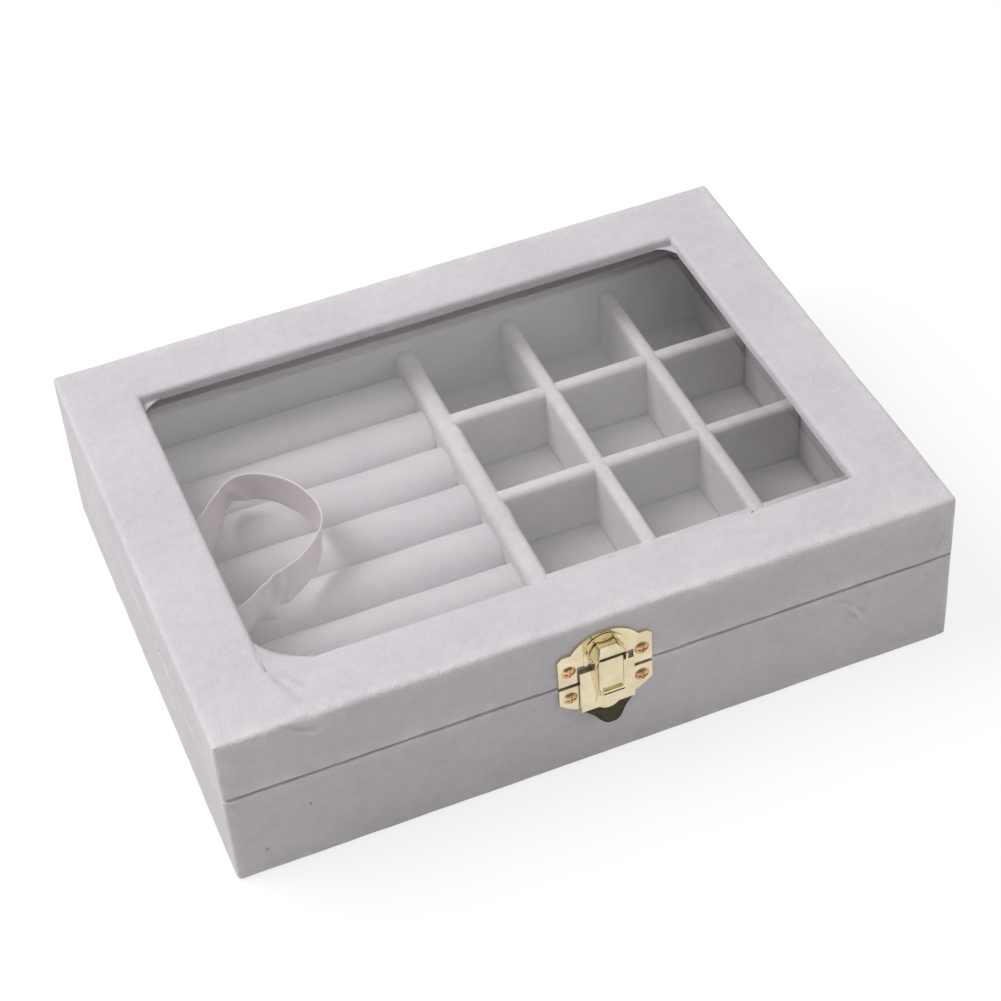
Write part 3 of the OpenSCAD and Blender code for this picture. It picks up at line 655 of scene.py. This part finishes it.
roll_velvet = empty_material("roll velvet")
tree = roll_velvet.node_tree
nap = place_group(tree, mottle, Cloud_Size=0.018, Fleck_Size=0.0022, Grain_Size=0.0005, Grain_Share=0.35)
finish_in(tree, colour_ramp(tree, nap.outputs["Tone"], (0.3, (0.57, 0.548, 0.575)),
                            (0.7, (0.69, 0.668, 0.692))),
          nap.outputs["Height"], depth=0.0002, strength=0.4,
          Roughness=0.9, Specular_IOR_Level=0.2, Sheen_Weight=0.15, Sheen_Roughness=0.5)

enlarged = 20
swell_steps = 20


def let_swell(bm, glued_below, pressure, most):
    """The stuffing pushes the cloth out. It is simulated enlarged, at a size where cloth behaves."""
    mesh = bpy.data.meshes.new("swelling")
    bm.to_mesh(mesh)
    mesh.transform(Matrix.Scale(enlarged, 4))
    cloth = bpy.data.objects.new("swelling", mesh)
    bpy.context.scene.collection.objects.link(cloth)
    glued = cloth.vertex_groups.new(name="glued")
    glued.add([vert.index for vert in mesh.vertices if vert.co.z < glued_below * enlarged],
              1, "REPLACE")
    swelling = cloth.modifiers.new("swelling", "CLOTH")
    settings = swelling.settings
    settings.quality = 5
    settings.vertex_group_mass = "glued"
    settings.use_pressure = True
    settings.uniform_pressure_force = pressure
    settings.effector_weights.gravity = 0
    settings.tension_stiffness = 25
    settings.compression_stiffness = 15
    settings.bending_stiffness = 0.8
    swelling.point_cache.frame_start = 1
    swelling.point_cache.frame_end = swell_steps
    for step in range(1, swell_steps + 1):
        bpy.context.scene.frame_set(step)
    swollen = cloth.evaluated_get(bpy.context.evaluated_depsgraph_get()).to_mesh()
    bm.verts.ensure_lookup_table()
    for vert, moved in zip(bm.verts, swollen.vertices):
        shift = moved.co / enlarged - vert.co
        if shift.length > most:
            shift *= most / shift.length
        vert.co += shift
    bpy.data.objects.remove(cloth)
    bpy.data.meshes.remove(mesh)
    bpy.context.scene.frame_set(1)


def remeshed(bm, size):
    """The same shape in even squares of cloth."""
    mesh = bpy.data.meshes.new("blank")
    bm.to_mesh(mesh)
    bm.free()
    blank = bpy.data.objects.new("blank", mesh)
    bpy.context.scene.collection.objects.link(blank)
    squares = blank.modifiers.new("squares", "REMESH")
    squares.mode = "VOXEL"
    squares.voxel_size = size
    squares.use_smooth_shade = True
    made = bmesh.new()
    made.from_object(blank, bpy.context.evaluated_depsgraph_get())
    bpy.data.objects.remove(blank)
    bpy.data.meshes.remove(mesh)
    return made


bed_top = 7.3 * mm
slack = 0.97
end_to_spare = Vector((6 * mm, 0, 0))
crown_radius = 6.6 * mm
square_size = 1.15 * mm
for number in range(1, 9):
    node = "ring_roll_" + str(number)
    low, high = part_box(node)
    bm = bmesh.new()
    bmesh.ops.create_cube(bm, size=1)
    bmesh.ops.scale(bm, verts=bm.verts, vec=(high - low) * slack + end_to_spare)
    bmesh.ops.translate(bm, verts=bm.verts, vec=(low + high) / 2)
    bevel_where(bm, crown_radius, 8, lambda a, b: min(a.z, b.z) > bed_top + 8 * mm
                and abs(a.x - b.x) > 50 * mm)
    bm = remeshed(bm, square_size)
    for vert in bm.verts:
        drift = noise.noise(Vector((vert.co.x / (24 * mm), number * 3.1, 0.5)))
        rise = noise.noise(Vector((vert.co.x / (18 * mm), number * 5.7, 2)))
        crown = max(0, (vert.co.z - bed_top) / (high.z - bed_top))
        vert.co.y += drift * 0.35 * mm * crown
        vert.co.z += rise * 0.3 * mm * crown
    let_swell(bm, bed_top + 2 * mm, 4, 0.9 * mm)
    for vert in bm.verts:
        vert.co.x = min(max(vert.co.x, low.x - 0.15 * mm), high.x + 0.4 * mm)
        vert.co.y = min(max(vert.co.y, low.y - 0.1 * mm), high.y + 0.1 * mm)
        vert.co.z = max(vert.co.z, bed_top)
    roll = make_piece("roll_" + str(number), bm, "base", roll_velvet, [node])
    finer = roll.modifiers.new("finer", "SUBSURF")
    finer.levels = 1
    finer.render_levels = 1


# COMPARTMENTS
# Padded card dividers, wrapped in the lining velvet, slot together by halves over a thin pad. The
# side-to-side ones are tucked into the partition that closes off the rolls.

pad_velvet = empty_material("pad velvet")
tree = pad_velvet.node_tree
nap = place_group(tree, mottle, Cloud_Size=0.02, Fleck_Size=0.0025, Grain_Size=0.0005, Grain_Share=0.3)
# Marked tops and edges take the pale end of the ramp: worn pile and a painted highlight.
wear_and_highlight = add(tree, "ShaderNodeAttribute", {"attribute_name": "wear_and_highlight"}).outputs["Fac"]
tone = math_node(tree, "ADD", nap.outputs["Tone"], math_node(tree, "MULTIPLY", wear_and_highlight, 0.4))
finish_in(tree, colour_ramp(tree, tone, (0.3, (0.45, 0.428, 0.443)), (0.7, (0.57, 0.545, 0.562)),
                            (1.0, (0.74, 0.715, 0.732))),
          nap.outputs["Height"], depth=0.0002, strength=0.4,
          Roughness=0.9, Specular_IOR_Level=0.2, Sheen_Weight=0.12, Sheen_Roughness=0.5)


tuck = 0.3 * mm
worn_and_lit_depth = 3 * mm


def padded_divider(node, along, radius, seed, lowered=0):
    """A card with foam over its top edge only: its ends and foot are tucked in between the others."""
    low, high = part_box(node)
    low.z -= tuck
    high.z -= lowered
    low[along] -= tuck
    high[along] += tuck
    bm = bmesh.new()
    bmesh.ops.create_cube(bm, size=1)
    bmesh.ops.scale(bm, verts=bm.verts, vec=high - low)
    bmesh.ops.translate(bm, verts=bm.verts, vec=(low + high) / 2)
    bevel_where(bm, radius, 5, lambda a, b: min(a.z, b.z) > high.z - 0.05 * mm
                and abs(a[along] - b[along]) > abs(a[1 - along] - b[1 - along]))
    slice_along(bm, along, 2.5 * mm)
    refine(bm, 7, 15 * mm, wanted=lambda a, b: abs(a.z - b.z) > 10 * mm)
    hand_worked(bm, seed, 0.2 * mm, 0.08 * mm)
    # The top few millimetres are marked paler: worn pile, and a painted highlight where light falls on the
    # tops.
    layer = bm.verts.layers.float.new("wear_and_highlight")
    for vert in bm.verts:
        vert[layer] = max(0, 1 - (high.z - vert.co.z) / worn_and_lit_depth)
    return bm


# The partition's foam bulges where each side-to-side divider is pushed in
divider_ends = [35.1, 0, -35.1]
bm = padded_divider("centre_partition", 1, 2.2 * mm, 21)
for place in divider_ends:
    fold(bm, [(3, place - 3, 26), (3, place - 9, 26)], 2.5 * mm, 0.45 * mm)
make_piece("partition", bm, "base", pad_velvet, ["centre_partition"])
for number in (1, 2):
    node = "long_divider_" + str(number)
    bm = padded_divider(node, 1, 1.7 * mm, 21 + number)
    make_piece("front_to_back_divider_" + str(number), bm, "base", pad_velvet, [node])
for number in (1, 2, 3):
    node = "cross_divider_" + str(number)
    bm = padded_divider(node, 0, 1.7 * mm, 23 + number, 0.25 * mm)
    make_piece("side_to_side_divider_" + str(number), bm, "base", pad_velvet, [node])

# The pad's edges are tucked in under the linings and the partition
bm = copy_of("compartment_pad")
for axis in (0, 1):
    middle = sum(vert.co[axis] for vert in bm.verts) / len(bm.verts)
    for vert in bm.verts:
        vert.co[axis] += math.copysign(tuck, vert.co[axis] - middle)
slice_along(bm, 0, 3 * mm)
slice_along(bm, 1, 3 * mm)
hand_worked(bm, 27, 0.15 * mm, 0.08 * mm)
pad = make_piece("floor_pad", bm, "base", lining_velvet, ["compartment_pad"])


# GLASS
# A 2 mm sheet of clear float glass, cut to drop inside the lid's walls behind the window. Light that
# only passes through it isn't bent, so that the rolls below stay evenly lit.

clear_glass = empty_material("clear glass")
tree = clear_glass.node_tree
sheet_glass = add(tree, "ShaderNodeBsdfPrincipled", Base_Color=(0.992, 0.978, 0.986, 1), Roughness=0.0,
                  Transmission_Weight=1.0, IOR=1.52, Coat_Weight=0.7, Coat_Roughness=0.0, Coat_IOR=1.6)
path = add(tree, "ShaderNodeLightPath")
passing = math_node(tree, "MAXIMUM", path.outputs["Is Shadow Ray"], path.outputs["Is Diffuse Ray"])
straight = add(tree, "ShaderNodeBsdfTransparent", Color=(0.97, 0.957, 0.965, 1))
surface = add(tree, "ShaderNodeMixShader", Fac=passing)
tree.links.new(sheet_glass.outputs[0], surface.inputs[1])
tree.links.new(straight.outputs[0], surface.inputs[2])
add(tree, "ShaderNodeOutputMaterial", Surface=surface.outputs[0])
finish_node("glass_pane", clear_glass)


# RIBBON STAY
# A 10 mm satin ribbon, glued by its ends behind the left linings of base and lid. It stands on edge
# in a slack loop while the box is shut, and stops the lid at a right angle.

edge_share = 0.028


def ribbon_face(name, dark, light, rough):
    """One face of the satin: fine cross threads, blotches, and a pale woven edge down each side."""
    satin = empty_material(name)
    tree = satin.node_tree
    on_ribbon = add(tree, "ShaderNodeUVMap").outputs["UV"]
    threads = add(tree, "ShaderNodeTexWave", {"wave_type": "BANDS", "bands_direction": "X"},
                  Vector=on_ribbon, Scale=60.0, Distortion=1.0, Detail=2.0)
    blotches = place_group(tree, mottle, Cloud_Size=0.012, Fleck_Size=0.002, Grain_Size=0.0003,
                           Grain_Share=0.2)
    weave = math_node(tree, "ADD", math_node(tree, "MULTIPLY", threads.outputs["Fac"], 0.12),
                      math_node(tree, "MULTIPLY", blotches.outputs["Tone"], 0.88))
    up_ribbon = add(tree, "ShaderNodeSeparateXYZ", Vector=on_ribbon).outputs["Y"]
    from_middle = math_node(tree, "ABSOLUTE", math_node(tree, "SUBTRACT", up_ribbon, 0.5))
    woven_edge = math_node(tree, "GREATER_THAN", from_middle, 0.5 - edge_share)
    tone = math_node(tree, "ADD", weave, math_node(tree, "MULTIPLY", woven_edge, 0.35))
    finish_in(tree, colour_ramp(tree, tone, (0.3, dark), (0.7, light), (1.0, (0.86, 0.84, 0.85))),
              tone, depth=0.00008, strength=0.5, Roughness=rough, Specular_IOR_Level=0.5,
              Sheen_Weight=0.3, Sheen_Roughness=0.3)
    return satin


satin_face = ribbon_face("satin ribbon", (0.68, 0.60, 0.62), (0.84, 0.77, 0.79), 0.35)
# The back face is darker: satin's duller back, and painted shade for the inside of the loop.
satin_back_shaded = ribbon_face("satin ribbon back shaded", (0.44, 0.36, 0.38), (0.60, 0.51, 0.53), 0.5)

left_lining = -93 * mm
ribbon_low = 26.8 * mm
ribbon_wide = 10 * mm
# Both edges of the ribbon, as distances in from the left lining and places along Y
low_edge = [(0.3, -28), (8, -25.2), (16.5, -20.5), (25, -17.3), (32, -13.5), (38.5, -8.3), (43.3, -2.2),
            (45.3, 3.5), (45.2, 9), (43.4, 16.4), (38.7, 23.6), (31.8, 27.6), (25.6, 26), (22, 19),
            (16.5, 12.4), (8.5, 9), (0.3, 8)]
high_edge = [(0.3, -28), (9, -24), (19.7, -18.4), (27.4, -14), (33.5, -11.2), (39, -7.5), (43.8, -2),
             (46.4, 4.5), (46, 11.5), (42.6, 19), (36.6, 25.2), (30.1, 26.9), (23.2, 23.2), (16.2, 16.2),
             (10.8, 12), (5.5, 9.2), (0.3, 8)]


def along_route(route, place):
    """The point at a place between 0 and 1 on the smooth line through the route's points."""
    last = len(route) - 1
    step = min(int(place * last), last - 1)
    share = place * last - step
    before, start, end, after = (Vector(route[min(max(step + k, 0), last)]) for k in (-1, 0, 1, 2))
    return (start * 2 + (end - before) * share
            + (before * 2 - start * 5 + end * 4 - after) * share ** 2
            + (start * 3 - before - end * 3 + after) * share ** 3) / 2


# Where along the ribbon it was bruised, and how far to each side
bruises = [(0.2, 0.1), (0.73, 0.06)]
bm = bmesh.new()
bmesh.ops.create_grid(bm, x_segments=200, y_segments=10, size=0.5, calc_uvs=True)
ribbon_map = bm.loops.layers.uv.verify()
for face in bm.faces:
    for loop in face.loops:
        loop[ribbon_map].uv = (loop.vert.co.x + 0.5, loop.vert.co.y + 0.5)
for vert in bm.verts:
    place = vert.co.x + 0.5
    height = vert.co.y + 0.5
    spot = along_route(low_edge, place).lerp(along_route(high_edge, place), height)
    ahead = along_route(high_edge, min(place + 0.004, 1))
    ahead -= along_route(high_edge, max(place - 0.004, 0))
    sideways = Vector((-ahead.y, ahead.x)).normalized()
    free = math.sin(math.pi * place)
    bruised = sum(max(0, 1 - abs(place - bruise) / reach) for bruise, reach in bruises)
    buckle = noise.noise((place * 9, height * 0.8, 3)) * 0.6 * free
    crumple = noise.noise((place * 30, height * 1.6, 5)) * 4 * bruised * (1 - height * 0.7)
    spot = spot + sideways * (buckle + crumple)
    vert.co = (left_lining + spot.x * mm, spot.y * mm, ribbon_low + height * ribbon_wide)
ribbon = make_piece("ribbon", bm, None, satin_face, ["ribbon_stay"])
ribbon.data.materials.append(satin_back_shaded)
thickness = ribbon.modifiers.new("thickness", "SOLIDIFY")
thickness.thickness = 0.25 * mm
thickness.offset = 0
# The second material, with its painted shade, goes on the inner side of the ribbon.
thickness.material_offset = 1
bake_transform(ribbon)


# HINGES
# Two pressed brass butts are screwed to the outside of the back, with three knuckles each. The outer
# knuckles belong to the base and the middle one to the lid.

metal_wear = new_group("metal wear",
                       [("Smudge Size", "NodeSocketFloat", 0.006),
                        ("Scratch Size", "NodeSocketFloat", 0.0004)],
                       [("Smudge", "NodeSocketFloat"), ("Scratch", "NodeSocketFloat")])
tree = metal_wear
given = add(tree, "NodeGroupInput")
place = add(tree, "ShaderNodeTexCoord").outputs["Object"]
smudge = add(tree, "ShaderNodeTexNoise", Vector=place, Detail=3.0,
             Scale=math_node(tree, "DIVIDE", 1.0, given.outputs["Smudge Size"]))
drawn_out = add(tree, "ShaderNodeMapping", Vector=place, Scale=(0.25, 1, 1), Rotation=(0.3, 0.2, 0.6))
scratch = add(tree, "ShaderNodeTexNoise", Vector=drawn_out.outputs[0], Detail=2.0,
              Scale=math_node(tree, "DIVIDE", 1.0, given.outputs["Scratch Size"]))
add(tree, "NodeGroupOutput", Smudge=smudge.outputs[0], Scratch=scratch.outputs[0])


def metal(name, worn, bright, smooth, rough):
    """A polished metal between two colours and two roughnesses, with faint scratches."""
    material = empty_material(name)
    tree = material.node_tree
    wear = place_group(tree, metal_wear)
    tarnish = colour_ramp(tree, wear.outputs["Smudge"], (0.35, worn), (0.65, bright))
    dulled = add(tree, "ShaderNodeMapRange", Value=wear.outputs["Smudge"], From_Min=0.3, From_Max=0.7,
                 To_Min=rough, To_Max=smooth)
    finish_in(tree, tarnish, wear.outputs["Scratch"], depth=0.000008, strength=0.25,
              Metallic=1.0, Roughness=dulled.outputs[0])
    return material


pale_brass = metal("pale brass", (0.70, 0.60, 0.40), (0.80, 0.71, 0.50), 0.10, 0.2)
copper = metal("copper plate", (0.60, 0.34, 0.17), (0.86, 0.60, 0.36), 0.28, 0.45)


def metal_part(name, node, body, material, radius=0, shaped=None, finished=None, crisp=32):
    """A CAD node's metal with its edges just broken, as they are after tumbling and polishing."""
    bm = copy_of(node)
    if shaped:
        shaped(bm)
    if radius:
        round_edges(bm, radius, 3)
    if finished:
        finished(bm)
    for edge in bm.edges:
        edge.smooth = not edge.is_manifold or edge.calc_face_angle() < math.radians(crisp)
    piece = make_piece(name, bm, body, material, [node])
    even = piece.modifiers.new("even shading", "WEIGHTED_NORMAL")
    even.keep_sharp = True


metal_part("hinge_leaves_on_base", "hinge_base_leaves", "base", pale_brass, 0.12 * mm)
metal_part("hinge_leaves_on_lid", "hinge_lid_leaves", "lid", pale_brass, 0.12 * mm)
metal_part("hinge_pin_rods", "hinge_pins", "base", pale_brass, 0.12 * mm)
metal_part("hinge_screws_in_base", "hinge_base_screws", "base", pale_brass)
metal_part("hinge_screws_in_lid", "hinge_lid_screws", "lid", pale_brass)


# LATCH
# Pressed from 0.8 mm brass sheet: a plate with a hood on the lid, a flap that turns on a pin under the
# hood, and a keeper on the base whose tongue the flap's boss snaps over. Copper-plated screws.

latch_middle = Vector((0.8, -75, 30.2)) * mm
hood_pivot_out = 2.9 * mm
hood_pivot_up = 9.2 * mm
hood_round = 3.9 * mm
hood_half = 4.5 * mm
hood_foot = 6 * mm


def on_crease(point):
    """Whether a point is where the hood's rounded front meets its arched side."""
    across, out, high = point.x - latch_middle.x, latch_middle.y - point.y, point.z - latch_middle.z
    off_front = math.hypot(out - hood_pivot_out, high - hood_pivot_up) - hood_round
    off_side = math.hypot(across, max(high - hood_pivot_up, 0)) - hood_half
    return max(abs(off_front), abs(off_side)) < 0.08 * mm and high > hood_foot


def pressed_dome(bm):
    """The press draws the hood's side and front into one another over a soft radius."""
    bevel_where(bm, 1.5 * mm, 6, lambda a, b: on_crease(a) and on_crease(b))


def drawn_boss(bm):
    """The boss of the flap is drawn out of the sheet over soft radii, like a pill standing on end."""
    half, back, face = 3.6 * mm, 0.9 * mm, 5.42 * mm
    low, high = -0.5 * mm, 11.35 * mm
    middle = latch_middle + Vector((0, -(face + back) / 2, (low + high) / 2))
    pill = bmesh.new()
    bmesh.ops.create_cube(pill, size=1)
    bmesh.ops.scale(pill, verts=pill.verts, vec=(2 * half, face - back, high - low))
    bmesh.ops.translate(pill, verts=pill.verts, vec=middle)
    behind = max(pill.faces, key=lambda side: side.calc_center_median().y)
    bmesh.ops.delete(pill, geom=[behind], context="FACES_ONLY")
    bevel_where(pill, 2 * mm, 8, lambda a, b: abs(a.y - b.y) > 1 * mm and a.z > middle.z)
    front = min(pill.faces, key=lambda side: side.calc_center_median().y)
    bmesh.ops.bevel(pill, geom=list(front.edges), offset=1.6 * mm, offset_type="OFFSET", segments=8,
                    profile=0.5, affect="EDGES", clamp_overlap=True, material=-1)
    shell = bpy.data.meshes.new("drawn boss")
    pill.to_mesh(shell)
    pill.free()
    bm.from_mesh(shell)
    bpy.data.meshes.remove(shell)


metal_part("latch_hood_plate", "latch_plate", "lid", pale_brass, 0.15 * mm, pressed_dome)
metal_part("latch_hinge_pin", "latch_pin", "lid", pale_brass, 0.1 * mm)
metal_part("latch_swing_flap", "latch_flap", "latch_flap", pale_brass, 0.15 * mm,
           finished=drawn_boss)
metal_part("latch_keeper_plate", "latch_keeper", "base", pale_brass, 0.15 * mm)
metal_part("latch_screws_in_base", "latch_keeper_screws", "base", copper, crisp=12)
metal_part("latch_screws_in_lid", "latch_plate_screws", "lid", copper, crisp=12)


# LINT
# A few short dark fibres cling to the velvet, as they do on every velvet box that has been handled.
# Each is about a millimetre of bent thread that lies flat on the pile.

lint_fibre = empty_material("lint fibre")
tree = lint_fibre.node_tree
fuzz = place_group(tree, mottle, Cloud_Size=0.002, Fleck_Size=0.0005, Grain_Size=0.0001, Grain_Share=0.5)
finish_in(tree, colour_ramp(tree, fuzz.outputs["Tone"], (0.3, (0.14, 0.125, 0.12)),
                            (0.7, (0.24, 0.21, 0.20))), Roughness=0.9)


fibre_radius = 0.09 * mm
fibre_bend = 0.5 * mm
fibre_sweep = math.radians(110)


def lint(name, body, spots):
    """Short curved fibres lying flat on the cloth, each at a place with the way the cloth faces."""
    bm = bmesh.new()
    for number, (spot, facing) in enumerate(spots):
        facing = Vector(facing)
        lie = facing.orthogonal().normalized()
        lie.rotate(Matrix.Rotation(number * 2.1, 3, facing))
        tip = Vector(spot) * mm + facing * 0.1 * mm
        standing = lie.to_track_quat("Z", "Y").to_matrix().to_4x4()
        ring = bmesh.ops.create_circle(bm, segments=6, radius=fibre_radius)["verts"]
        bmesh.ops.transform(bm, verts=ring, matrix=Matrix.Translation(tip) @ standing)
        edges = [edge for edge in bm.edges if edge.verts[0] in ring and edge.verts[1] in ring]
        bmesh.ops.spin(bm, geom=edges, cent=tip + facing.cross(lie) * fibre_bend, axis=facing,
                       angle=fibre_sweep, steps=6)
    bmesh.ops.holes_fill(bm, edges=bm.edges, sides=6)
    bmesh.ops.recalc_face_normals(bm, faces=bm.faces)
    make_piece(name, bm, body, lint_fibre)


lint("lint_on_lid", "lid", [((-100, -22.3, 33.9), (-1, 0, 0)), ((50.9, -56.9, 50), (0, 0, 1))])
lint("lint_on_base", "base", [((-78.6, -75, 20.1), (0, -1, 0)), ((-91.8, -75, 8.2), (0, -1, 0))])
